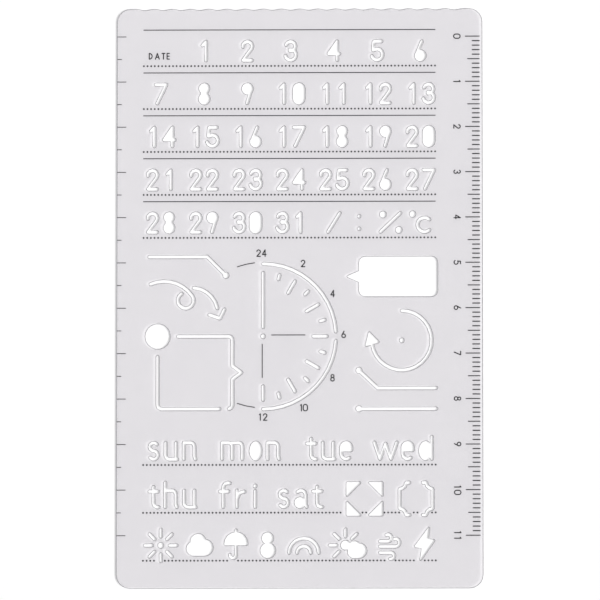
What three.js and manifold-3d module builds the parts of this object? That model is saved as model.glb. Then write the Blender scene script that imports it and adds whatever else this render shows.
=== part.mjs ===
// Planner stencil: one thin die-cut sheet of translucent plastic, with pen slots for dates, weekday
// names, weather signs and note symbols, and films of dark ink printed on its upper face.
// Millimetres, +Z up. The sheet lies flat with its underside at z = 0 and its middle at x = y = 0.
// Places are read as on the sheet: x from the left edge and y down from the top edge.
import * as THREE from "three";
import { mergeVertices } from "three/addons/utils/BufferGeometryUtils.js";
import Module from "manifold-3d";

// Sheet
const SHEET_THICKNESS = 0.5;
const CORNER_RADIUS = 3;
const WAVE_PITCH = 4;
const WAVE_HEIGHT = 0.3; // crest to trough of the wavy top edge
const LEFT_MARGIN = 4.95; // left edge to the first day cell
const RULER_BAND = 8.85; // last day cell to the right edge
const BOTTOM_MARGIN = 6.1; // last writing line to the bottom edge

// Pen slots
const SLOT = 0.66; // width that the pen's tip runs in
const LETTER_SLOT = 0.63;
const POINTED_SLOT = 0.35; // corners of the pointed cut-outs, as a width
const BRIDGE = 1.38; // web left between two slots that nearly meet

// Calendar of day numbers
const DAYS = 31;
const DAY_COLUMNS = 7;
const DAY_ROWS = 5;
const ROW_PITCH = 9.5;
const FIRST_RULE = 4.7; // top edge to the first printed rule
const LINE_DROP = 8; // printed rule to the writing line below it
const LINE_LIFT = 0.92; // writing line to the foot of the figures on it
const NUMERAL_HEIGHT = 4.81;
const NUMERAL_STEP = 3.63; // middle of the tens to the middle of the units

// Weekday names, and the signs beside them
const WORD_PITCH = 10.5; // writing line to writing line
const X_HEIGHT = 4.28; // height of a small letter
const LETTER_GAP = 1.02;
const PAIR_RISE = 3; // writing line to the middle of the triangles and brackets
const TRIANGLE_ACROSS = 4.03; // middle to the outer sides
const TRIANGLE_UP = 3.73;
const TRIANGLE_LEG = 2.81;
const BRACKET_ACROSS = 3.6; // middle to the slot
const BRACKET_UP = 3.55;
const BRACKET_CORNER = 1.4; // radius of the hollow corners
const BRACKET_LIP = 1.45; // middle to the end of the slot

// Weather signs
const WEATHER_RISE = 3.35; // writing line to the middle of a sign
const WEATHER_WIDTH = 8; // side of the square that a sign is drawn in
const RAYS = 8; // rays of a full sun
const RAY_INNER = 1.6;
const RAY_OUTER = 3.8;

// Note symbols on the left: a leader line, a looping arrow and a note frame
const NOTE_LEFT = 6.3; // left edge to the corner disc of the note frame
const NOTE_HEAD = 4.2; // last day line to the first leader line
const LEADER_INSET = 0.9; // note frame's disc to the leader line's end
const LEADER_LENGTH = 12.7; // level part of the first leader line
const LEADER_RISE = 4.1; // reach of the slanted part of a leader line
const LEADER_DISC = 0.68; // radius of the round end of a leader line
const LOOP_X = 4.15; // note frame's disc to the middle of the looping arrow's lead-in
const LOOP_DROP = 12.95; // first leader line to that middle
const LOOP_LEAD = 7.55; // radius of the lead-in
const LOOP_RADIUS = 1.75;
const LOOP_START = 113.5; // degrees where the lead-in starts
const LOOP_MEET = 35; // degrees where it turns into the loop
const LOOP_END = -240; // degrees where the loop ends
const FRAME_WIDTH = 16.4; // note frame, on the middle of its slots
const FRAME_HEIGHT = 15.95;
const FRAME_CORNER = 0.8;
const FRAME_DISC = 2.75; // radius of the disc on the frame's corner
const POINTER_REACH = 1.95; // pointer on the frame's side
const POINTER_HALF = 1.45;

// Half dial of 24 hours
const DIAL_RADIUS = 16; // on the middle of its slot
const DIAL_LEFT = 4.75; // tip of the frame's pointer to the dial's middle
const DIAL_HEAD = 5.75; // last day line to the dial
const DIAL_FOOT = 12.25; // dial to the first line of names
const HUB_RADIUS = 0.52;
const HOURS = 12; // hours in the cut half
const HOUR_OUTER = 14; // outer end of the hour slots, from the dial's middle
const HOUR_LONG = 3; // length of an even hour's slot
const HOUR_SHORT = 1; // length of an odd hour's slot
const HAND_INNER = 2; // inner end of the hand's slot

// Note symbols on the right: a speech bubble, a turning arrow and two leader lines
const RIGHT_GAP = 5; // dial to the right-hand symbols
const RIGHT_INSET = 1.05; // right-hand symbols to the last day cell's edge
const BUBBLE_WIDTH = 17.25;
const BUBBLE_HEIGHT = 8.8;
const BUBBLE_CORNER = 1.3;
const BUBBLE_TAIL = 2.6; // reach of the bubble's tail
const TAIL_HALF = 1.2;
const ARROW_X = 9.4; // right-hand symbols' left end to the turning arrow's middle
const ARROW_GAP = 2.8; // bubble to the turning arrow
const ARROW_RADIUS = 6.55; // on the middle of its slot
const ARROW_SWEEP = 264; // degrees of its slot
const ARROW_HEAD = 1.7; // reach of its head beside the slot's end
const LEADER_GAP = 3.28; // turning arrow to the leader line below it
const LEADER_DROP = 0.2; // how much less that leader line's slant climbs
const LEADER_PITCH = 4.55;

// Printed ink
const INK_THICKNESS = 0.03;
const INK_LINE = 0.2; // width of a printed line
const RULER_LINE = 0.22; // width of the ruler's ticks
const EDGE_LINE = 0.17; // width of the left scale's ticks
const RULE_LEFT = 0.85; // first day cell's edge to the printed rules
const RULE_RIGHT = 1.45; // printed rules to the last day cell's edge
const DIAL_PRINT_FROM = 1.95; // dial's middle to the printed hour lines
const DIAL_PRINT_LENGTH = 7.5;
const RIM_PRINT_FROM = 6; // degrees from upright to the printed ends of the dial's rim
const RIM_PRINT_TO = 20;
const PRINT_LEFT = 0.2; // how far the dial's print lies left of its cut-outs
const PRINT_UP = 0.3; // how far it lies above them
const RULER_ZERO = 6.2; // top edge to the zero of both scales
const RULER_GAP = 0.6; // right edge to the ruler's ticks
const CENTIMETRE = 10;
const CM_TICK = 3.2;
const HALF_TICK = 2.7;
const EDGE_GAP = 0.05; // left edge to the ticks of the left scale
const EDGE_LONG_TICK = 2;
const EDGE_SHORT_TICK = 1;

// Fineness of the round outlines
const CURVE_ERROR = 0.04; // gap aimed at between a facet and its true curve
const SHARP_TURN = 40; // turns past this many degrees are rounded, not mitred
const WAVE_STEPS = 6;
const CUT_PAST = 1; // how far the cutters run past both faces of the sheet
const GLYPH_STEPS = 10; // units from the lowest to the highest centreline of a figure
const SIGN_STEPS = 8; // units along the square that a weather sign is drawn in

// Places that follow from the sizes above
const lastDayLine = FIRST_RULE + (DAY_ROWS - 1) * ROW_PITCH + LINE_DROP;
const frameLeft = NOTE_LEFT + FRAME_DISC;
const dialX = frameLeft + FRAME_WIDTH + POINTER_REACH + DIAL_LEFT;
const dialY = lastDayLine + DIAL_HEAD + DIAL_RADIUS;
const rightX = dialX + DIAL_RADIUS + RIGHT_GAP;
const wordLine = dialY + DIAL_RADIUS + DIAL_FOOT;
const weatherLine = wordLine + 2 * WORD_PITCH;
const cellsRight = rightX + BUBBLE_WIDTH + RIGHT_INSET;
const cellPitch = (cellsRight - LEFT_MARGIN) / DAY_COLUMNS;
const sheetWidth = cellsRight + RULER_BAND;
const sheetLength = weatherLine + BOTTOM_MARGIN;
const centimetres = Math.floor((sheetLength - 2 * RULER_ZERO) / CENTIMETRE);

const wasm = await Module();
wasm.setup();

const { degToRad, radToDeg } = THREE.MathUtils;
const frosted = new THREE.MeshStandardMaterial({ color: 0xe4e2e5, roughness: 0.4, metalness: 0 });
const ink = new THREE.MeshStandardMaterial({ color: 0x242328, roughness: 0.6, metalness: 0 });

// Outlines

// A point at a distance and an angle from another.
function polar(centre, radius, angle) {
  return new THREE.Vector2(centre.x + radius * Math.cos(angle), centre.y + radius * Math.sin(angle));
}

// Steps that keep the facets of an arc near its curve.
function arcSteps(radius, sweep) {
  const step = 2 * Math.acos(Math.max(0, 1 - CURVE_ERROR / radius));
  return Math.max(1, Math.round(Math.abs(sweep) / step));
}

function arcPoints(centre, radius, from, to, steps = arcSteps(radius, to - from)) {
  const points = [];
  for (let i = 0; i <= steps; i += 1) {
    points.push(polar(centre, radius, from + ((to - from) * i) / steps));
  }
  return points;
}

// A closed loop moved outwards by a distance, with round outer corners. A path that runs out and
// back along itself becomes a slot with round ends.
function offsetLoop(loop, distance) {
  const outline = [];
  loop.forEach((corner, i) => {
    const last = loop.at(i - 1);
    const next = loop[(i + 1) % loop.length];
    const before = corner.clone().sub(last).normalize();
    const after = next.clone().sub(corner).normalize();
    const turn = last.equals(next) ? Math.PI : Math.atan2(before.cross(after), before.dot(after));
    const start = before.angle() - Math.PI / 2;
    if (turn > degToRad(SHARP_TURN)) {
      outline.push(...arcPoints(corner, distance, start, start + turn));
    } else {
      outline.push(polar(corner, distance / Math.cos(turn / 2), start + turn / 2));
    }
  });
  return outline;
}

function slotOutline(path, width) {
  return offsetLoop([...path, ...path.slice(1, -1).reverse()], width / 2);
}

function prism(outline, depth, z) {
  const shape = new THREE.Shape(outline);
  return new THREE.ExtrudeGeometry(shape, { depth, bevelEnabled: false }).translate(0, 0, z);
}

// Solids

function solid(geometry) {
  const bare = geometry.clone();
  bare.deleteAttribute("normal");
  bare.deleteAttribute("uv");
  const merged = mergeVertices(bare);
  return new wasm.Manifold(
    new wasm.Mesh({
      numProp: 3,
      vertProperties: merged.attributes.position.array,
      triVerts: new Uint32Array(merged.index.array),
    }),
  );
}

function geometryOf(manifold) {
  const mesh = manifold.getMesh();
  const geometry = new THREE.BufferGeometry();
  geometry.setAttribute("position", new THREE.BufferAttribute(mesh.vertProperties, 3));
  geometry.setIndex(new THREE.BufferAttribute(mesh.triVerts, 1));
  geometry.computeVertexNormals();
  return geometry;
}

// Cutting pen: draws cut-outs around a place on the sheet, with local y upwards and lengths in its
// own unit, and keeps each as a cutter that runs through the sheet.
const cutters = [];

class Pen {
  constructor(x, y, unit = 1, width = SLOT) {
    this.origin = new THREE.Vector2(x - sheetWidth / 2, sheetLength / 2 - y);
    this.unit = unit;
    this.width = width;
  }

  cut(outline) {
    cutters.push(solid(prism(outline, SHEET_THICKNESS + 2 * CUT_PAST, -CUT_PAST)));
    return this;
  }

  at([x, y]) {
    return new THREE.Vector2(x, y).multiplyScalar(this.unit).add(this.origin);
  }

  // Points of an arc from one angle to another, in degrees, for use in a stroke or a plate.
  bow(x, y, radius, from, to) {
    const steps = arcSteps(radius * this.unit, degToRad(to - from));
    const points = arcPoints(new THREE.Vector2(x, y), radius, degToRad(from), degToRad(to), steps);
    return points.map((point) => point.toArray());
  }

  // A slot along a path.
  stroke(...path) {
    const points = path.map((point) => this.at(point));
    const apart = points.filter((point, i) => i === 0 || point.distanceTo(points[i - 1]) > CURVE_ERROR);
    return this.cut(slotOutline(apart, this.width));
  }

  // A filled cut-out whose corners have the pen's roundness.
  plate(...corners) {
    const loop = corners.map((corner) => this.at(corner));
    if (THREE.ShapeUtils.isClockWise(loop)) loop.reverse();
    return this.cut(offsetLoop(loop, this.width / 2));
  }

  // A filled oval, measured to the pen's middle.
  oval(x, y, across, up = across) {
    const reach = new THREE.Vector2(across, up).multiplyScalar(this.unit).addScalar(this.width / 2);
    const centre = this.at([x, y]);
    const turn = 2 * Math.PI;
    const steps = arcSteps(Math.max(reach.x, reach.y), turn);
    const outline = [];
    for (let i = 0; i < steps; i += 1) {
      const angle = (turn * i) / steps;
      outline.push(new THREE.Vector2(Math.cos(angle), Math.sin(angle)).multiply(reach).add(centre));
    }
    return this.cut(outline);
  }

  // A round hole of a given radius.
  hole(radius) {
    return this.oval(0, 0, (radius - this.width / 2) / this.unit);
  }

  // Rays of a sun, from one to another, counted from the right and turning left.
  rays(first, last) {
    for (let ray = first; ray <= last; ray += 1) {
      const angle = (2 * Math.PI * ray) / RAYS;
      const reach = (radius) => polar(new THREE.Vector2(), radius / this.unit, angle).toArray();
      this.stroke(reach(RAY_INNER + this.width / 2), reach(RAY_OUTER - this.width / 2));
    }
    return this;
  }
}

// Figures for the calendar: x from the middle, y from the lowest centreline. Closed counters are
// cut out whole, because nothing would hold them.
const FIGURES = {
  0: (pen) => pen.plate(...pen.bow(0, 7.5, 2.5, 0, 180), ...pen.bow(0, 2.5, 2.5, 180, 360)),
  1: (pen) => pen.stroke([-1, 8], [0.9, 10], [0.9, 0]),
  2: (pen) => pen.stroke(...pen.bow(0, 7.5, 2.5, 188, -30), [-2.4, 0], [2.4, 0]),
  3: (pen) =>
    pen
      .stroke(...pen.bow(0, 7.5, 2.5, 165, -100))
      .stroke(...pen.bow(0, 2.85, 2.85, 100, -170)),
  4: (pen) =>
    pen
      .plate([1.7, 10], [-2.8, 3.4], [1.7, 3.4])
      .stroke([-2.8, 3.4], [2.9, 3.4])
      .stroke([1.7, 9], [1.7, 0]),
  5: (pen) => pen.stroke([2.3, 10], [-1.8, 10], [-2.2, 5.3], ...pen.bow(0, 2.95, 2.95, 120, -165)),
  6: (pen) => pen.oval(0, 2.3, 2.3).stroke([0.8, 10], [-2.1, 2.8]),
  7: (pen) => pen.stroke([-2.8, 10], [2.8, 10], [-2, 0]),
  8: (pen) => pen.oval(0, 7.9, 2.1).oval(0, 2.3, 2.3).oval(0, 5.2, 1.2, 2),
  9: (pen) => pen.oval(0, 7.7, 2.3).stroke([1.8, 6.6], [-0.2, 0]),
  "/": (pen) => pen.stroke([-3.1, 0], [3.1, 10]),
  ":": (pen) => pen.oval(0, 8.3, 0.2).oval(0, 1.6, 0.2),
  "%": (pen) => pen.oval(-4.1, 9.2, 1).oval(4.3, 1, 1).stroke([-5.4, 0], [5.1, 10]),
  degrees: (pen) => pen.oval(-4, 9.4, 0.9).stroke(...pen.bow(2.35, 3.7, 3.8, 48, 312)),
};

// Signs after the last day: figure and middle, in day columns.
const SIGNS = [
  ["/", 4.5],
  [":", 5.08],
  ["%", 5.81],
  ["degrees", 6.49],
];

// Small letters: step towards the next letter, then strokes with x from the left-hand centreline.
const LETTERS = {
  a: [
    5.85,
    (pen) =>
      pen
        .oval(2.6, 2.6, 2.6)
        .stroke(...pen.bow(3.2, 7.2, 2.8, 140, 0), [6, 1.4], [6.6, 0]),
  ],
  d: [7, (pen) => pen.oval(3.3, 5, 3.3, 5).stroke([7, 13.4], [7, 0])],
  e: [
    6,
    (pen) =>
      pen
        .plate([0, 5.4], [6, 5.4], ...pen.bow(3, 7, 3, 0, 180))
        .stroke([0, 6], ...pen.bow(3, 3, 3, 180, 310)),
  ],
  f: [
    5.75,
    (pen) =>
      pen
        .stroke([2.1, 0], ...pen.bow(4.9, 11.8, 2.8, 180, 65))
        .stroke([0, 9.4], [5.3, 9.4]),
  ],
  h: [
    6.8,
    (pen) =>
      pen
        .stroke([0, 14.8], [0, 0])
        .stroke([0.4, 10], ...pen.bow(4, 7.6, 2.4, 90, 0), [6.4, 1.6], [7, 0]),
  ],
  i: [2.8, (pen) => pen.stroke([1.6, 9.6], [1.6, 0]).oval(1.6, 12.7, 0.35)],
  m: [
    12.65,
    (pen) =>
      pen
        .stroke([0, 0], [0, 10], ...pen.bow(3.8, 7.7, 2.3, 90, 0), [6.1, 0])
        .stroke([5.4, 9.9], ...pen.bow(9.9, 7.6, 2.3, 90, 0), [12.2, 0]),
  ],
  n: [6.8, (pen) => pen.stroke([0, 0], [0, 10], ...pen.bow(4, 7.6, 2.4, 90, 0), [6.4, 1.6], [7, 0])],
  o: [5.6, (pen) => pen.oval(3, 5, 3, 5)],
  r: [4.8, (pen) => pen.stroke([0, 10], [0, 0]).stroke([0.4, 5.6], ...pen.bow(4, 6, 3.3, 165, 80))],
  s: [
    5.2,
    (pen) => pen.stroke(...pen.bow(2.6, 7.55, 2.45, 35, 250), ...pen.bow(2.6, 2.55, 2.55, 70, -145)),
  ],
  t: [
    5,
    (pen) =>
      pen
        .stroke([2.5, 12.3], ...pen.bow(4.7, 2.2, 2.2, 180, 270), [5.6, 0])
        .stroke([0, 9.4], [5.2, 9.4]),
  ],
  u: [
    6.45,
    (pen) =>
      pen
        .stroke([0, 10], ...pen.bow(2.4, 2.4, 2.4, 180, 270), [7, 0])
        .stroke([6.2, 10], [6.2, 0.4]),
  ],
  w: [12.4, (pen) => pen.stroke([0, 10], [3.4, 0], [6.7, 9.3], [10, 0], [13.4, 10])],
};

// Weekday names: word, left end in day columns and writing line.
const WORDS = [
  ["sun", 0.211, 0],
  ["mon", 1.887, 0],
  ["tue", 3.844, 0],
  ["wed", 5.396, 0],
  ["thu", 0.212, 1],
  ["fri", 1.835, 1],
  ["sat", 3.21, 1],
];

// Signs beside the names: middle, in day columns.
const PAIRS = { triangles: 5.205, brackets: 6.389 };

// Weather signs: place in day columns, slot width, then the drawing around the sign's middle.
const WEATHER = [
  [0.511, LETTER_SLOT, (pen) => pen.oval(0, 0, 0.32).rays(0, RAYS - 1)],
  [
    1.405,
    LETTER_SLOT,
    (pen) =>
      pen
        .oval(-1.3, -0.7, 1.3)
        .oval(-0.35, 0.85, 1.4)
        .oval(1.2, -0.5, 1.45)
        .plate([-1.3, -2], [1.2, -2], [0.6, 0.6], [-0.9, 0.4]),
  ],
  [
    2.242,
    LETTER_SLOT,
    (pen) =>
      pen
        .plate(...pen.bow(0, 0.3, 2.3, 0, 180))
        .stroke([0, 3.3], [0, 0], ...pen.bow(-0.65, -2.15, 0.65, 0, -190)),
  ],
  [2.974, LETTER_SLOT, (pen) => pen.oval(-0.05, 1.55, 1).oval(0.02, -1.15, 1.37)],
  [
    3.807,
    LETTER_SLOT,
    (pen) => pen.stroke(...pen.bow(0, -1.7, 3.25, 0, 180)).stroke(...pen.bow(0, -1.7, 1.5, 0, 180)),
  ],
  [
    4.763,
    LETTER_SLOT,
    (pen) =>
      pen
        .oval(0, 0, 0.75)
        .oval(1.9, -0.55, 1.15)
        .oval(3.05, -1.2, 1.3)
        .oval(1.8, -1.5, 1.05)
        .plate([1.8, -2.55], [3, -2.5], [2.4, -0.2], [0.4, 0])
        .rays(1, RAYS / 2 + 1),
  ],
  [
    5.742,
    LETTER_SLOT,
    (pen) =>
      pen
        .stroke([-1.75, 0.85], ...pen.bow(0, 1.6, 0.75, -90, 120))
        .stroke([-1.75, -0.3], ...pen.bow(1.65, 0.55, 0.85, -90, 110))
        .stroke([-1.75, -1.65], ...pen.bow(0.65, -2.35, 0.7, 90, -110)),
  ],
  [
    6.579,
    POINTED_SLOT,
    (pen) =>
      pen.plate([0.95, 3.75], [-2.05, -0.3], [-0.45, -0.55], [-0.85, -3.2], [2.1, 1], [0.7, 1.2]),
  ],
];

// Cut-outs

function figurePen(x, line) {
  const unit = (NUMERAL_HEIGHT - SLOT) / GLYPH_STEPS;
  return new Pen(x, line - LINE_LIFT - SLOT / 2, unit);
}

// Places across the sheet, counted in day columns.
function columnX(column) {
  return LEFT_MARGIN + column * cellPitch;
}

// Day numbers in week rows, with the first cell left free, and the signs after the last day.
function cutCalendar() {
  for (let day = 1; day <= DAYS; day += 1) {
    const line = FIRST_RULE + Math.floor(day / DAY_COLUMNS) * ROW_PITCH + LINE_DROP;
    const digits = [...String(day)];
    digits.forEach((digit, i) => {
      const x = columnX((day % DAY_COLUMNS) + 0.5) + (i - (digits.length - 1) / 2) * NUMERAL_STEP;
      FIGURES[digit](figurePen(x, line));
    });
  }
  SIGNS.forEach(([sign, column]) => FIGURES[sign](figurePen(columnX(column), lastDayLine)));
}

function cutWords() {
  const unit = (X_HEIGHT - LETTER_SLOT) / GLYPH_STEPS;
  WORDS.forEach(([word, left, row]) => {
    const y = wordLine + row * WORD_PITCH - LINE_LIFT - LETTER_SLOT / 2;
    let x = columnX(left) + LETTER_SLOT / 2;
    [...word].forEach((letter) => {
      const [step, draw] = LETTERS[letter];
      draw(new Pen(x, y, unit, LETTER_SLOT));
      x += step * unit + LETTER_SLOT + LETTER_GAP;
    });
  });
}

// Four corner triangles and a pair of brackets with hollow corners, on the second line of names.
function cutPairs() {
  const y = wordLine + WORD_PITCH - PAIR_RISE;
  const far = [TRIANGLE_ACROSS - POINTED_SLOT / 2, TRIANGLE_UP - POINTED_SLOT / 2];
  [-1, 1].forEach((across) => {
    [-1, 1].forEach((up) => {
      const corner = (x, height) => [across * x, up * height];
      new Pen(columnX(PAIRS.triangles), y, 1, POINTED_SLOT).plate(
        corner(far[0], far[1]),
        corner(far[0], far[1] - TRIANGLE_LEG),
        corner(far[0] - TRIANGLE_LEG, far[1]),
      );
    });
    const pen = new Pen(columnX(PAIRS.brackets), y, 1, LETTER_SLOT);
    const hollow = pen.bow(BRACKET_ACROSS, BRACKET_UP, BRACKET_CORNER, 180, 270);
    const upper = [[BRACKET_LIP, BRACKET_UP], ...hollow].map(([x, height]) => [across * x, height]);
    const lower = upper.map(([x, height]) => [x, -height]).reverse();
    pen.stroke(...upper, ...lower);
  });
}

function cutWeather() {
  const y = weatherLine - WEATHER_RISE;
  const unit = WEATHER_WIDTH / SIGN_STEPS;
  WEATHER.forEach(([column, width, draw]) => draw(new Pen(columnX(column), y, unit, width)));
}

// A line to write on that ends in a round pointer.
function cutLeader(x, y, ...path) {
  new Pen(x, y).stroke(...path).oval(...path.at(-1), LEADER_DISC - SLOT / 2);
}

// An arrow that loops once: lead-in and loop, then the leap and its head, drawn in loop radii.
function cutLoopArrow(x, y) {
  const pen = new Pen(x, y);
  const inward = polar(new THREE.Vector2(), LOOP_LEAD - LOOP_RADIUS, degToRad(LOOP_MEET));
  pen.stroke(
    ...pen.bow(0, 0, LOOP_LEAD, LOOP_START, LOOP_MEET),
    ...pen.bow(inward.x, inward.y, LOOP_RADIUS, LOOP_MEET, LOOP_END),
  );
  const leap = new Pen(x, y, LOOP_RADIUS);
  leap.stroke(...leap.bow(3.48, 0.23, 3.27, 86, 12));
  leap.stroke([5.67, 0.09], [7.01, -0.37], [7.56, 0.77]);
}

// A square note frame with a pointer on its right side and a disc on its top left corner.
function cutNoteFrame(x, y) {
  const pen = new Pen(x, y);
  const clear = FRAME_DISC + BRIDGE + SLOT / 2;
  const right = FRAME_WIDTH;
  const foot = -FRAME_HEIGHT;
  const turn = FRAME_CORNER;
  const footEnd = right - turn - BRIDGE - SLOT;
  pen.hole(FRAME_DISC);
  pen.stroke(
    [clear, 0],
    ...pen.bow(right - turn, -turn, turn, 90, 0),
    [right, foot / 2 + POINTER_HALF],
    [right + POINTER_REACH, foot / 2],
    [right, foot / 2 - POINTER_HALF],
    ...pen.bow(right - turn, foot + turn, turn, 0, -90),
  );
  pen.stroke([0, -clear], ...pen.bow(turn, foot + turn, turn, 180, 270), [footEnd, foot]);
}

// Right half of a 24-hour dial: the rim in two slots, hour marks and a hand.
function cutDial() {
  const pen = new Pen(dialX, dialY).hole(HUB_RADIUS);
  const web = radToDeg((BRIDGE + SLOT) / 2 / DIAL_RADIUS);
  pen.stroke(...pen.bow(0, 0, DIAL_RADIUS, 90, web)).stroke(...pen.bow(0, 0, DIAL_RADIUS, -web, -90));
  for (let hour = 0; hour <= HOURS; hour += 1) {
    const angle = Math.PI / 2 - (hour * Math.PI) / HOURS;
    const inner = hour === 0 ? HAND_INNER : HOUR_OUTER - (hour % 2 ? HOUR_SHORT : HOUR_LONG);
    const reach = (radius) => [radius * Math.cos(angle), radius * Math.sin(angle)];
    pen.stroke(reach(inner), reach(HOUR_OUTER));
  }
}

function cutBubble(y) {
  const far = BUBBLE_WIDTH - BUBBLE_CORNER;
  const low = BUBBLE_CORNER - BUBBLE_HEIGHT;
  new Pen(rightX, y, 1, 2 * BUBBLE_CORNER).plate(
    [BUBBLE_CORNER, -BUBBLE_CORNER],
    [BUBBLE_CORNER, low],
    [far, low],
    [far, -BUBBLE_CORNER],
  );
  const slope = TAIL_HALF / BUBBLE_TAIL;
  new Pen(rightX - BUBBLE_TAIL, y + BUBBLE_HEIGHT / 2, 1, POINTED_SLOT).plate(
    [POINTED_SLOT / 2, 0],
    [BUBBLE_TAIL + BUBBLE_CORNER, TAIL_HALF + slope * BUBBLE_CORNER - POINTED_SLOT / 2],
    [BUBBLE_TAIL + BUBBLE_CORNER, POINTED_SLOT / 2 - TAIL_HALF - slope * BUBBLE_CORNER],
  );
}

// An arrow that turns around a centre hole.
function cutTurningArrow(x, y) {
  const pen = new Pen(x, y).hole(HUB_RADIUS);
  pen.stroke(...pen.bow(0, 0, ARROW_RADIUS, 90, 90 - ARROW_SWEEP));
  const head = new Pen(x - ARROW_RADIUS, y, ARROW_HEAD, POINTED_SLOT);
  head.plate([-0.35, 1], [0.85, -0.21], [-0.76, -0.68]);
}

function cutNotes() {
  const headLine = lastDayLine + NOTE_HEAD;
  const leaderTip = [LEADER_LENGTH + LEADER_RISE, -LEADER_RISE];
  cutLeader(NOTE_LEFT + LEADER_INSET, headLine, [0, 0], [LEADER_LENGTH, 0], leaderTip);
  cutLoopArrow(NOTE_LEFT + LOOP_X, headLine + LOOP_DROP);
  cutNoteFrame(frameLeft, dialY);
  cutDial();
  cutBubble(headLine);
  const arrowY = headLine + BUBBLE_HEIGHT + ARROW_GAP + ARROW_RADIUS + SLOT / 2;
  const leaderY = arrowY + ARROW_RADIUS + SLOT + LEADER_GAP;
  const leaderEnd = [BUBBLE_WIDTH - SLOT / 2, 0];
  cutTurningArrow(rightX + ARROW_X, arrowY);
  cutLeader(rightX, leaderY, leaderEnd, [LEADER_RISE, 0], [0, LEADER_RISE - LEADER_DROP]);
  cutLeader(rightX, leaderY + LEADER_PITCH, leaderEnd, [0, 0]);
}

// Rounded blank with a wavy top edge, whose crests line up with the straight edge.
function sheetBlank() {
  const right = sheetWidth / 2;
  const top = sheetLength / 2;
  const corner = (x, y, from) => {
    const centre = new THREE.Vector2(x * (right - CORNER_RADIUS), y * (top - CORNER_RADIUS));
    return arcPoints(centre, CORNER_RADIUS, from * Math.PI, (from + 0.5) * Math.PI);
  };
  const waves = Math.floor((sheetWidth - 2 * CORNER_RADIUS) / WAVE_PITCH);
  const wave = [];
  for (let i = 0; i <= waves * WAVE_STEPS; i += 1) {
    const x = (waves / 2 - i / WAVE_STEPS) * WAVE_PITCH;
    const dip = (WAVE_HEIGHT / 2) * (1 - Math.cos((2 * Math.PI * i) / WAVE_STEPS));
    wave.push(new THREE.Vector2(x, top - dip));
  }
  const rightSide = [...corner(1, -1, -0.5), ...corner(1, 1, 0)];
  const leftSide = [...corner(-1, 1, 0.5), ...corner(-1, -1, 1)];
  return solid(prism([...rightSide, ...wave, ...leftSide], SHEET_THICKNESS, 0));
}

function stencilSheet() {
  cutCalendar();
  cutNotes();
  cutWords();
  cutPairs();
  cutWeather();
  const cutouts = cutters.reduce((joined, cutter) => joined.add(cutter));
  return geometryOf(sheetBlank().subtract(cutouts));
}

// Pieces

const stencil = new THREE.Group();

function addPiece(name, geometry, material) {
  const piece = new THREE.Mesh(geometry, material);
  piece.name = name;
  stencil.add(piece);
  return piece;
}

// A straight film of ink, given by its left end, its middle down the sheet and its size.
function printBar(name, x, y, across, down) {
  const bar = addPiece(name, new THREE.BoxGeometry(across, down, INK_THICKNESS), ink);
  const middle = x + across / 2 - sheetWidth / 2;
  bar.position.set(middle, sheetLength / 2 - y, SHEET_THICKNESS + INK_THICKNESS / 2);
}

function printRules() {
  const left = LEFT_MARGIN + RULE_LEFT;
  const length = cellsRight - RULE_RIGHT - left;
  for (let row = 0; row < DAY_ROWS; row += 1) {
    printBar(`row_rule_${row + 1}`, left, FIRST_RULE + row * ROW_PITCH, length, INK_LINE);
  }
}

// The printed lines at six and twelve o'clock, and the rim's printed ends left of the cut half.
function printDial() {
  const x = dialX - PRINT_LEFT;
  const y = dialY - PRINT_UP;
  const middle = DIAL_PRINT_FROM + DIAL_PRINT_LENGTH / 2;
  printBar("dial_line_six", x + DIAL_PRINT_FROM, y, DIAL_PRINT_LENGTH, INK_LINE);
  printBar("dial_line_twelve", x - INK_LINE / 2, y + middle, INK_LINE, DIAL_PRINT_LENGTH);
  const centre = new THREE.Vector2(x - sheetWidth / 2, sheetLength / 2 - y);
  [
    ["dial_rim_top", 90 + RIM_PRINT_FROM, 90 + RIM_PRINT_TO],
    ["dial_rim_bottom", 270 - RIM_PRINT_TO, 270 - RIM_PRINT_FROM],
  ].forEach(([name, from, to]) => {
    const path = arcPoints(centre, DIAL_RADIUS, degToRad(from), degToRad(to));
    addPiece(name, prism(slotOutline(path, INK_LINE), INK_THICKNESS, SHEET_THICKNESS), ink);
  });
}

// Centimetre and half-centimetre ticks of the right-hand ruler and the left-hand scale.
function printScales() {
  for (let half = 0; half <= 2 * centimetres; half += 1) {
    const y = RULER_ZERO + (half * CENTIMETRE) / 2;
    const whole = half % 2 === 0;
    const label = `${whole ? "cm" : "half"}_tick_${Math.floor(half / 2)}`;
    const tick = whole ? CM_TICK : HALF_TICK;
    printBar(`ruler_${label}`, sheetWidth - RULER_GAP - tick, y, tick, RULER_LINE);
    printBar(`left_${label}`, EDGE_GAP, y, whole ? EDGE_LONG_TICK : EDGE_SHORT_TICK, EDGE_LINE);
  }
}

addPiece("stencil_sheet", stencilSheet(), frosted);
printRules();
printDial();
printScales();

export default stencil;
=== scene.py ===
"""A planner stencil lying on a white table: a die-cut translucent sheet with dark printing."""
import math

import bmesh
import bpy
from mathutils import Euler, Matrix, Vector
from mathutils.bvhtree import BVHTree


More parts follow.
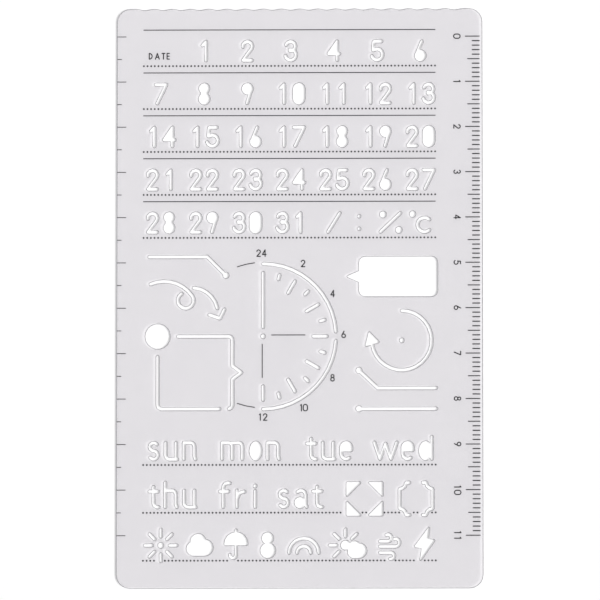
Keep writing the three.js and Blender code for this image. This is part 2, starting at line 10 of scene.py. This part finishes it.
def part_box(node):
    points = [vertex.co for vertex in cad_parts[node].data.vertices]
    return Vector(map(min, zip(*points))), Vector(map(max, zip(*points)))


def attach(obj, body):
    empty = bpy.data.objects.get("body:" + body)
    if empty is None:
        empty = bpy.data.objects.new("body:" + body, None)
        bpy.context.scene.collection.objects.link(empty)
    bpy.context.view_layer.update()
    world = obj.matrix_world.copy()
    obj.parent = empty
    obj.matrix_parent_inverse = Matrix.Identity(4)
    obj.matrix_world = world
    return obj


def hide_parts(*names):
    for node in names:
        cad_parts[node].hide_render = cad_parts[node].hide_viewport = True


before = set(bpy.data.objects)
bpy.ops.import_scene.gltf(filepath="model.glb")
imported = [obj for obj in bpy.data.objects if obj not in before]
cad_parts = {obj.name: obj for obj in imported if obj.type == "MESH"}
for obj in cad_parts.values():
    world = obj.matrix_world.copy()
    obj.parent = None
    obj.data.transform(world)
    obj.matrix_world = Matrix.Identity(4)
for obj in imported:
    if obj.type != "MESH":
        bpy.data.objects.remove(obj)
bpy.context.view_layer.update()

scene = bpy.context.scene
MM = 0.001

# The sheet, and the ink on its upper face.
SHEET_LOW, SHEET_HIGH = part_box("stencil_sheet")
LIP = 0.125 * MM  # width of the lip that the die raises around every cut
LIP_FOOT = 0.005 * MM  # height of the lip on its outer side
LIP_CREST = 0.028 * MM  # and along the cut
LIP_LEAN = 4.5  # the lip shades like a slope this much steeper, so that it draws a dark edge
CLEAR_BAND = 0.06 * MM  # glossy plastic between the lip and the matt face
WEB_SHARE = 0.42  # most of a narrow web's width that the lip and the band on one side take up
NEEDLE_ANGLE = math.radians(10)  # a sharper corner than this doubles back on itself
WALL_CORNER = math.radians(32)  # a wall that turns by more than this has an edge there
WALL_RISE = 0.5  # the upward part of a face's normal is less than this on a wall
TOP_RISE = 0.9  # and more than this on the upper face
SAME_POINT = 1e-7  # metres; vertices nearer than this are one
INK_FILM = 0.03 * MM

# Printing, in millimetres from the sheet's left and top edges.
DOT_PITCH = 0.8
DOT_RADIUS = 0.21
DOT_SIDES = 10
DOTS_FROM, DOTS_TO = 5.9, 69.9
DOT_ROWS = (12.7, 22.2, 31.7, 41.2, 50.7, 100.7, 111.2, 121.7)
# Stretches of the dotted lines that the cut-outs interrupt.
DOT_GAPS = {
    111.2: ((49.7, 53.3), (55.3, 58.1), (62.5, 64.5), (66.5, 68.5)),
    121.7: ((8.9, 10.1), (24.9, 26.1), (59.3, 60.5), (65.7, 66.9)),
}
RULER_ZERO = 6.2
RULER_MILLIMETRES = 110
RULER_END = 79.7
MM_TICK = 1.7
TICK_WIDTH = 0.25
RULER_FIGURES_X = 74.72
STROKE = 0.24
FIGURE_HEIGHT = 1.65
FIGURE_STEP = 1.22  # middle to middle of two figures side by side
SHARED_END = STROKE / 10  # ends of strokes that are nearer than this are one
ARC_STEP = math.radians(15)

# The table, the light and the camera.
TABLE_REACH = 3.0  # metres, from its middle to each side
TABLE_GAP = 0.02 * MM  # between the table and the sheet that lies on it
SKY_STRENGTH = 0.3
LENS, SENSOR = 511.5, 36  # millimetres
CAMERA_PLACE = (0.03427, -0.19508, 1.85878)  # metres
CAMERA_TILT = (5.975, 1.054, 0.0)  # degrees

# Figures and capitals of a thin round typeface: x from the middle, y from the foot, ten units high.
# Four numbers are a straight bar from point to point; five are a bow: middle, radius and two angles.
GLYPH_UNITS = 10
GLYPHS = {
    "0": [
        (0, 6.7, 3.3, 0, 180), (0, 3.3, 3.3, 180, 360),
        (-3.3, 3.3, -3.3, 6.7), (3.3, 3.3, 3.3, 6.7),
    ],
    "1": [(0.3, 0, 0.3, 10), (0.3, 10, -1.1, 8.8)],
    "2": [(0, 7.3, 2.7, -38, 170), (2.1, 5.6, -2.6, 0), (-2.6, 0, 2.6, 0)],
    "3": [(0, 7.6, 2.4, -90, 155), (0, 2.6, 2.6, -155, 90)],
    "4": [(1.2, 0, 1.2, 10), (1.2, 10, -2.9, 2.9), (-2.9, 2.9, 2.7, 2.9)],
    "5": [(2.2, 10, -1.5, 10), (-1.5, 10, -2.0, 5.4), (0, 3.1, 3.1, -150, 130)],
    "6": [(0, 2.8, 2.8, 0, 360), (0.6, 10, -2.5, 4.1)],
    "7": [(-2.7, 10, 2.7, 10), (2.7, 10, -1.5, 0)],
    "8": [(0, 7.7, 2.3, 0, 360), (0, 2.7, 2.7, 0, 360)],
    "9": [(0, 7.2, 2.8, 0, 360), (2.5, 5.9, -0.6, 0)],
    "A": [(-3.3, 0, 0, 10), (0, 10, 3.3, 0), (-2.2, 3.3, 2.2, 3.3)],
    "D": [(-2.5, 0, -2.5, 10), (-2.5, 5, 5, -90, 90)],
    "E": [(-2, 0, -2, 10), (-2, 10, 2, 10), (-2, 5.1, 1.6, 5.1), (-2, 0, 2, 0)],
    "T": [(0, 0, 0, 10), (-2.5, 10, 2.5, 10)],
}

# Dial figures and the word before the first day: each sign with its middle.
DIAL_FIGURES = [
    ("2", 31.15, 54.1), ("4", 32.4, 54.1),
    ("2", 40.9, 56.4),
    ("4", 47.4, 63.05),
    ("6", 49.8, 72.05),
    ("8", 47.35, 81.6),
    ("1", 40.5, 88.15), ("0", 41.4, 88.15),
    ("1", 31.5, 90.2), ("2", 32.6, 90.2),
]
DATE_WORD = [("D", 7.39, 10.5), ("A", 8.85, 10.5), ("T", 10.2, 10.5), ("E", 11.25, 10.5)]
DATE_HEIGHT = 1.5


def on_sheet(x, y):
    """Metres in the part's frame, from millimetres right of the left edge and below the top edge."""
    return Vector((SHEET_LOW.x + x * MM, SHEET_HIGH.y - y * MM, SHEET_HIGH.z))


def bar(bm, start, end, width):
    """A flat straight mark."""
    along = end - start
    turn = Matrix.Rotation(math.atan2(along.y, along.x), 4, "Z")
    size = Matrix.Diagonal((along.length, width, 1, 1))
    place = Matrix.Translation((start + end) / 2)
    bmesh.ops.create_grid(bm, x_segments=1, y_segments=1, size=0.5, matrix=place @ turn @ size)


def dot(bm, middle, radius):
    """A flat round mark."""
    bmesh.ops.create_circle(
        bm, cap_ends=True, segments=DOT_SIDES, radius=radius, matrix=Matrix.Translation(middle)
    )


def bow(bm, middle, radius, first, last, width):
    """A flat curved mark: a short line across the stroke, spun around the bow's middle."""
    out = Vector((math.cos(first), math.sin(first), 0))
    ends = [bm.verts.new(middle + out * (radius + side * width / 2)) for side in (-1, 1)]
    line = bm.edges.new(ends)
    full = math.isclose(last - first, math.tau)
    bmesh.ops.spin(
        bm, geom=[*ends, line], cent=middle, axis=(0, 0, 1), angle=last - first,
        steps=math.ceil((last - first) / ARC_STEP), use_merge=full,
    )


def sign(bm, glyph, middle, turn=0.0, height=FIGURE_HEIGHT):
    """One figure or capital, centred, upright or turned on the sheet."""
    unit = (height - STROKE) * MM / GLYPH_UNITS
    spin = Matrix.Rotation(turn, 3, "Z")

    def place(x, y):
        return middle + spin @ Vector((x, y - GLYPH_UNITS / 2, 0)) * unit

    rounded = []
    for mark in GLYPHS[glyph]:
        if len(mark) == 4:
            ends = place(*mark[:2]), place(*mark[2:])
            bar(bm, *ends, STROKE * MM)
        else:
            x, y, radius, first, last = mark
            first, last = math.radians(first) + turn, math.radians(last) + turn
            centre, reach = place(x, y), radius * unit
            bow(bm, centre, reach, first, last, STROKE * MM)
            ends = [centre + Vector((math.cos(a), math.sin(a), 0)) * reach for a in (first, last)]
        for end in ends:
            # Strokes that meet share one round end.
            if all((end - other).length > SHARED_END * MM for other in rounded):
                dot(bm, end, STROKE / 2 * MM)
                rounded.append(end)


def raise_film(bm, thickness, crest=0.0, along=()):
    """Flat faces made a closed film that stands on the sheet, up to a crest along some vertices."""
    raised = bmesh.ops.extrude_face_region(bm, geom=bm.faces[:])["geom"]
    for part in raised:
        if isinstance(part, bmesh.types.BMVert):
            on_crest = any(edge.other_vert(part) in along for edge in part.link_edges)
            part.co.z += crest if on_crest else thickness
    bmesh.ops.recalc_face_normals(bm, faces=bm.faces)


def piece_from(name, bm, materials):
    """A finished piece from its bmesh, riding on the part."""
    mesh = bpy.data.meshes.new(name)
    bm.to_mesh(mesh)
    bm.free()
    for material in materials:
        mesh.materials.append(material)
    piece = bpy.data.objects.new(name, mesh)
    scene.collection.objects.link(piece)
    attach(piece, "root")
    return piece


def film(name, draw):
    """A printed piece: flat marks drawn on the sheet, then raised by the thickness of the ink."""
    bm = bmesh.new()
    draw(bm)
    raise_film(bm, INK_FILM)
    piece = piece_from(name, bm, [screen_ink])
    piece.visible_shadow = False


def draw_writing_dots(bm):
    count = round((DOTS_TO - DOTS_FROM) / DOT_PITCH)
    for row in DOT_ROWS:
        gaps = DOT_GAPS.get(row, ())
        for i in range(count + 1):
            x = DOTS_FROM + i * DOT_PITCH
            if not any(low < x < high for low, high in gaps):
                dot(bm, on_sheet(x, row), DOT_RADIUS * MM)


def draw_millimetre_ticks(bm):
    # Every fifth tick is a longer one, and already there as a node of the part.
    for millimetre in range(RULER_MILLIMETRES + 1):
        if millimetre % 5:
            y = RULER_ZERO + millimetre
            bar(bm, on_sheet(RULER_END - MM_TICK, y), on_sheet(RULER_END, y), TICK_WIDTH * MM)


def draw_ruler_figures(bm):
    for centimetre in range(RULER_MILLIMETRES // 10 + 1):
        text = str(centimetre)
        for i, figure in enumerate(text):
            y = RULER_ZERO + 10 * centimetre + (i - (len(text) - 1) / 2) * FIGURE_STEP
            sign(bm, figure, on_sheet(RULER_FIGURES_X, y), turn=-math.pi / 2)


def draw_dial_figures(bm):
    for figure, x, y in DIAL_FIGURES:
        sign(bm, figure, on_sheet(x, y))


def draw_date_word(bm):
    for letter, x, y in DATE_WORD:
        sign(bm, letter, on_sheet(x, y), height=DATE_HEIGHT)


def is_wall(face):
    return abs(face.normal.z) < WALL_RISE


def cut_verts(bm):
    """Vertices along the sheet's outline and cut-outs."""
    return {vert for face in bm.faces if is_wall(face) for vert in face.verts}


def blunt_needles(bm):
    """Weld the tip of each corner that doubles back on itself to its nearer neighbour."""
    tips = {}
    for vert in bm.verts:
        rim = [
            edge for edge in vert.link_edges
            if {is_wall(face) for face in edge.link_faces} == {True, False}
        ]
        if len(rim) == 2:
            rim.sort(key=lambda edge: edge.calc_length())
            near, far = (edge.other_vert(vert) for edge in rim)
            if (near.co - vert.co).angle(far.co - vert.co) < NEEDLE_ANGLE:
                tips[vert] = near
    bmesh.ops.weld_verts(bm, targetmap=tips)


def cut_edge_bands(bm, face_up):
    """Lip and clear band along the sheet's outline, narrower where two cuts come close together."""
    sheet = BVHTree.FromBMesh(bm)
    reach = LIP + CLEAR_BAND
    rim = bmesh.ops.inset_region(bm, faces=face_up, thickness=reach)["faces"]
    outline = cut_verts(bm)
    ribs = dict.fromkeys(
        edge for face in rim for edge in face.edges if len(outline.intersection(edge.verts)) == 1
    )
    # Each rib looks across its web from half-way down and just inside the wall.
    half_down = Vector((0, 0, SHEET_HIGH.z / 2))
    just_inside = reach / 100
    for rib in ribs:
        foot = next(vert for vert in rib.verts if vert in outline)
        head = rib.other_vert(foot)
        way = head.co - foot.co
        start = foot.co - half_down + way.normalized() * just_inside
        web = sheet.ray_cast(start, way, reach / WEB_SHARE)[3]
        if web is not None:
            head.co = foot.co + way * min(1, web * WEB_SHARE / way.length)
        ribs[rib] = (LIP if rib.verts[0] == foot else CLEAR_BAND) / reach
    split = bmesh.ops.bisect_edges(bm, edges=list(ribs), cuts=1, edge_percents=ribs)["geom_split"]
    seam = [part for part in split if isinstance(part, bmesh.types.BMVert)]
    bmesh.ops.connect_verts(bm, verts=seam)
    outline = cut_verts(bm)
    both = dict.fromkeys(face for vert in seam for face in vert.link_faces)
    lip = {face for face in both if outline.intersection(face.verts)}
    return lip, [face for face in both if face not in lip]


def lean_normals(mesh, factor):
    """Shade a mesh as if its slopes were steeper."""
    steeper = []
    for face in mesh.polygons:
        face.use_smooth = True
        lean = Vector((face.normal.x * factor, face.normal.y * factor, face.normal.z)).normalized()
        steeper += [lean] * face.loop_total
    mesh.normals_split_custom_set(steeper)


def die_cut_sheet():
    """The cut sheet, matt on top, with a lip around it and every cut-out that the die has raised."""
    bm = bmesh.new()
    bm.from_mesh(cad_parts["stencil_sheet"].data)
    bmesh.ops.remove_doubles(bm, verts=bm.verts, dist=SAME_POINT)
    blunt_needles(bm)
    face_up = [face for face in bm.faces if face.normal.z > TOP_RISE]
    lip, band = cut_edge_bands(bm, face_up)
    # The matt face is filled anew inside the bands, because the inset folds its thinnest triangles.
    old = set(face_up)
    inner = dict.fromkeys(
        edge for face in band for edge in face.edges if old.intersection(edge.link_faces)
    )
    bmesh.ops.delete(bm, geom=face_up, context="FACES_KEEP_BOUNDARY")
    filled = bmesh.ops.triangle_fill(bm, use_beauty=True, edges=list(inner), normal=(0, 0, 1))["geom"]
    matt = {part for part in filled if isinstance(part, bmesh.types.BMFace)}
    bmesh.ops.recalc_face_normals(bm, faces=bm.faces)
    for face in bm.faces:
        face.smooth = is_wall(face)
        face.material_index = 0 if face in matt else 2 if is_wall(face) else 1
    piece = piece_from("die_cut_sheet", bm.copy(), [matt_face, clear_plastic, cut_wall])
    piece.data.set_sharp_from_angle(angle=WALL_CORNER)
    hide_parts("stencil_sheet")
    cut = cut_verts(bm)
    bmesh.ops.delete(bm, geom=[face for face in bm.faces if face not in lip], context="FACES")
    raise_film(bm, LIP_FOOT, LIP_CREST, cut)
    # The lip's grey is painted shade, a dark line drawn around every cut.
    lips = piece_from("raised_lips", bm, [painted_shade_lip])
    lips.visible_shadow = False
    lean_normals(lips.data, LIP_LEAN)


def colour(code):
    """Linear colour from an sRGB hex code."""
    channels = [int(code[i : i + 2], 16) / 255 for i in (1, 3, 5)]
    return [*(c / 12.92 if c <= 0.04045 else ((c + 0.055) / 1.055) ** 2.4 for c in channels), 1]


def add(material, kind, sockets=None, **settings):
    """One shader node; a socket is given a value, a node whose first output it takes, or an output."""
    tree = material.node_tree
    made = tree.nodes.new(kind)
    for key, value in settings.items():
        setattr(made, key, value)
    for key, value in (sockets or {}).items():
        socket = next(s for s in made.inputs if s.name == key and s.enabled)
        if isinstance(value, bpy.types.Node):
            value = next(s for s in value.outputs if s.enabled)
        if isinstance(value, bpy.types.NodeSocket):
            tree.links.new(value, socket)
        else:
            socket.default_value = value
    return made


def finish(name):
    """A material with no nodes yet."""
    material = bpy.data.materials.new(name)
    material.use_nodes = True
    material.node_tree.nodes.clear()
    return material


def per_metre(millimetres):
    """Scale of a pattern whose cells are this wide."""
    return 1 / (millimetres * MM)


def matt_polypropylene():
    # Polypropylene sheet, matt on its upper face: milky, half see-through, a little cloudy and grained.
    material = finish("matt_polypropylene_face")
    place = add(material, "ShaderNodeTexCoord").outputs["Object"]
    # Clouds about 9 mm across.
    clouds = add(
        material, "ShaderNodeTexNoise",
        {"Vector": place, "Scale": per_metre(9), "Detail": 3.0},
    )
    tint = add(
        material, "ShaderNodeMix",
        {"Factor": clouds, "A": colour("#E6E3E8"), "B": colour("#ECE9ED")},
        data_type="RGBA",
    )
    # The real grain is about 0.03 mm; it is drawn at 0.25 mm so that it shows.
    grain = add(
        material, "ShaderNodeTexNoise",
        {"Vector": place, "Scale": per_metre(0.25), "Detail": 2.0},
    )
    matt = add(
        material, "ShaderNodeMapRange",
        {"Value": grain, "To Min": 0.3, "To Max": 0.42},
    )
    bump = add(
        material, "ShaderNodeBump",
        {"Height": grain, "Strength": 0.15, "Distance": 0.02 * MM},
    )
    shader = add(
        material, "ShaderNodeBsdfPrincipled",
        {
            "Base Color": tint,
            "Roughness": matt,
            "Normal": bump,
            "IOR": 1.49,
            "Alpha": 0.58,
        },
    )
    add(material, "ShaderNodeOutputMaterial", {"Surface": shader})
    return material


def glossy_polypropylene():
    # The same sheet's underside and the band along its cuts: glossy, nearly clear, a little hazy.
    material = finish("glossy_polypropylene")
    place = add(material, "ShaderNodeTexCoord").outputs["Object"]
    # Patches of haze about 6 mm across.
    haze = add(
        material, "ShaderNodeTexNoise",
        {"Vector": place, "Scale": per_metre(6), "Detail": 2.0},
    )
    tint = add(
        material, "ShaderNodeMix",
        {"Factor": haze, "A": colour("#E2E0E4"), "B": colour("#ECEAED")},
        data_type="RGBA",
    )
    shader = add(
        material, "ShaderNodeBsdfPrincipled",
        {"Base Color": tint, "Roughness": 0.2, "IOR": 1.49, "Alpha": 0.02},
    )
    add(material, "ShaderNodeOutputMaterial", {"Surface": shader})
    return material


def sheared_polypropylene():
    # Walls that the die sheared: finely scored from top to bottom, so dull and a little frosted.
    material = finish("die_sheared_polypropylene_wall")
    place = add(material, "ShaderNodeTexCoord").outputs["Object"]
    upright = add(material, "ShaderNodeMapping", {"Vector": place, "Scale": (1, 1, 0.1)})
    # The real scores are about 0.02 mm apart; they are drawn at 0.15 mm so that they show.
    scores = add(
        material, "ShaderNodeTexNoise",
        {"Vector": upright, "Scale": per_metre(0.15), "Detail": 2.0},
    )
    tint = add(
        material, "ShaderNodeMix",
        {"Factor": scores, "A": colour("#DEDCE1"), "B": colour("#ECEAED")},
        data_type="RGBA",
    )
    dull = add(
        material, "ShaderNodeMapRange",
        {"Value": scores, "To Min": 0.4, "To Max": 0.6},
    )
    shader = add(
        material, "ShaderNodeBsdfPrincipled",
        {"Base Color": tint, "Roughness": dull, "IOR": 1.49, "Alpha": 0.16},
    )
    add(material, "ShaderNodeOutputMaterial", {"Surface": shader})
    return material


def raised_polypropylene():
    # Lip that the cutting die drew up, a thin line around every cut: its grey is painted shade, a dark
    # line in place of the shade that falls along the cut.
    material = finish("painted_shade_on_die_lip")
    place = add(material, "ShaderNodeTexCoord").outputs["Object"]
    # Drag marks about 0.2 mm apart.
    drag = add(
        material, "ShaderNodeTexNoise",
        {"Vector": place, "Scale": per_metre(0.2), "Detail": 2.0},
    )
    tint = add(
        material, "ShaderNodeMix",
        {"Factor": drag, "A": colour("#828086"), "B": colour("#8E8C92")},
        data_type="RGBA",
    )
    bump = add(
        material, "ShaderNodeBump",
        {"Height": drag, "Strength": 0.3, "Distance": 0.02 * MM},
    )
    shader = add(
        material, "ShaderNodeBsdfPrincipled",
        {"Base Color": tint, "Roughness": 0.55, "Normal": bump, "IOR": 1.49, "Alpha": 0.9},
    )
    add(material, "ShaderNodeOutputMaterial", {"Surface": shader})
    return material


def printed_ink():
    # Screen-printed solvent ink: a flat black-grey film with a dull surface and small thin spots.
    material = finish("screen_printed_ink")
    place = add(material, "ShaderNodeTexCoord").outputs["Object"]
    # The mesh of the screen is about 0.1 mm; it is drawn at 0.3 mm so that it shows.
    mesh = add(
        material, "ShaderNodeTexNoise",
        {"Vector": place, "Scale": per_metre(0.3), "Detail": 2.0},
    )
    tint = add(
        material, "ShaderNodeMix",
        {"Factor": mesh, "A": colour("#17161A"), "B": colour("#2A282D")},
        data_type="RGBA",
    )
    bump = add(
        material, "ShaderNodeBump",
        {"Height": mesh, "Strength": 0.2, "Distance": 0.01 * MM},
    )
    shader = add(
        material, "ShaderNodeBsdfPrincipled",
        {"Base Color": tint, "Roughness": 0.6, "Normal": bump},
    )
    add(material, "ShaderNodeOutputMaterial", {"Surface": shader})
    return material


def white_table():
    bm = bmesh.new()
    bmesh.ops.create_grid(bm, x_segments=1, y_segments=1, size=TABLE_REACH)
    bmesh.ops.translate(bm, vec=(0, 0, SHEET_LOW.z - TABLE_GAP), verts=bm.verts)
    mesh = bpy.data.meshes.new("table")
    bm.to_mesh(mesh)
    bm.free()
    material = finish("white_table")
    paper = add(material, "ShaderNodeBsdfDiffuse", {"Color": colour("#FFFFFF")})
    add(material, "ShaderNodeOutputMaterial", {"Surface": paper})
    mesh.materials.append(material)
    table = bpy.data.objects.new("table", mesh)
    scene.collection.objects.link(table)


def softbox(name, side, up, distance, size, watts):
    """A square lamp that faces the sheet, from a bearing and a height in degrees."""
    lamp = bpy.data.lights.new(name, "AREA")
    lamp.size = size
    lamp.energy = watts
    holder = bpy.data.objects.new(name, lamp)
    side, up = math.radians(side), math.radians(up)
    toward = Vector((math.cos(side) * math.cos(up), math.sin(side) * math.cos(up), math.sin(up)))
    holder.location = toward * distance
    holder.rotation_euler = toward.to_track_quat("Z", "Y").to_euler()
    scene.collection.objects.link(holder)


def studio_light():
    world = bpy.data.worlds.new("studio")
    scene.world = world
    world.use_nodes = True
    sky = world.node_tree.nodes["Background"].inputs
    sky["Color"].default_value = colour("#FFFFFF")
    sky["Strength"].default_value = SKY_STRENGTH
    softbox("key", side=-15, up=46, distance=12, size=0.72, watts=1312)
    softbox("fill", side=125, up=55, distance=0.45, size=0.2, watts=0.14)


def camera():
    lens = bpy.data.cameras.new("camera")
    lens.lens = LENS
    lens.sensor_width = SENSOR
    holder = bpy.data.objects.new("camera", lens)
    holder.location = CAMERA_PLACE
    holder.rotation_euler = Euler(map(math.radians, CAMERA_TILT))
    scene.collection.objects.link(holder)
    scene.camera = holder


matt_face = matt_polypropylene()
clear_plastic = glossy_polypropylene()
cut_wall = sheared_polypropylene()
painted_shade_lip = raised_polypropylene()
screen_ink = printed_ink()

die_cut_sheet()
for name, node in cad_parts.items():
    if name != "stencil_sheet":
        node.data.materials.clear()
        node.data.materials.append(screen_ink)
        node.visible_shadow = False
film("writing_line_dots", draw_writing_dots)
film("ruler_millimetre_ticks", draw_millimetre_ticks)
film("ruler_figures", draw_ruler_figures)
film("dial_figures", draw_dial_figures)
film("date_word", draw_date_word)
white_table()
studio_light()
camera()
scene.view_settings.view_transform = "Standard"
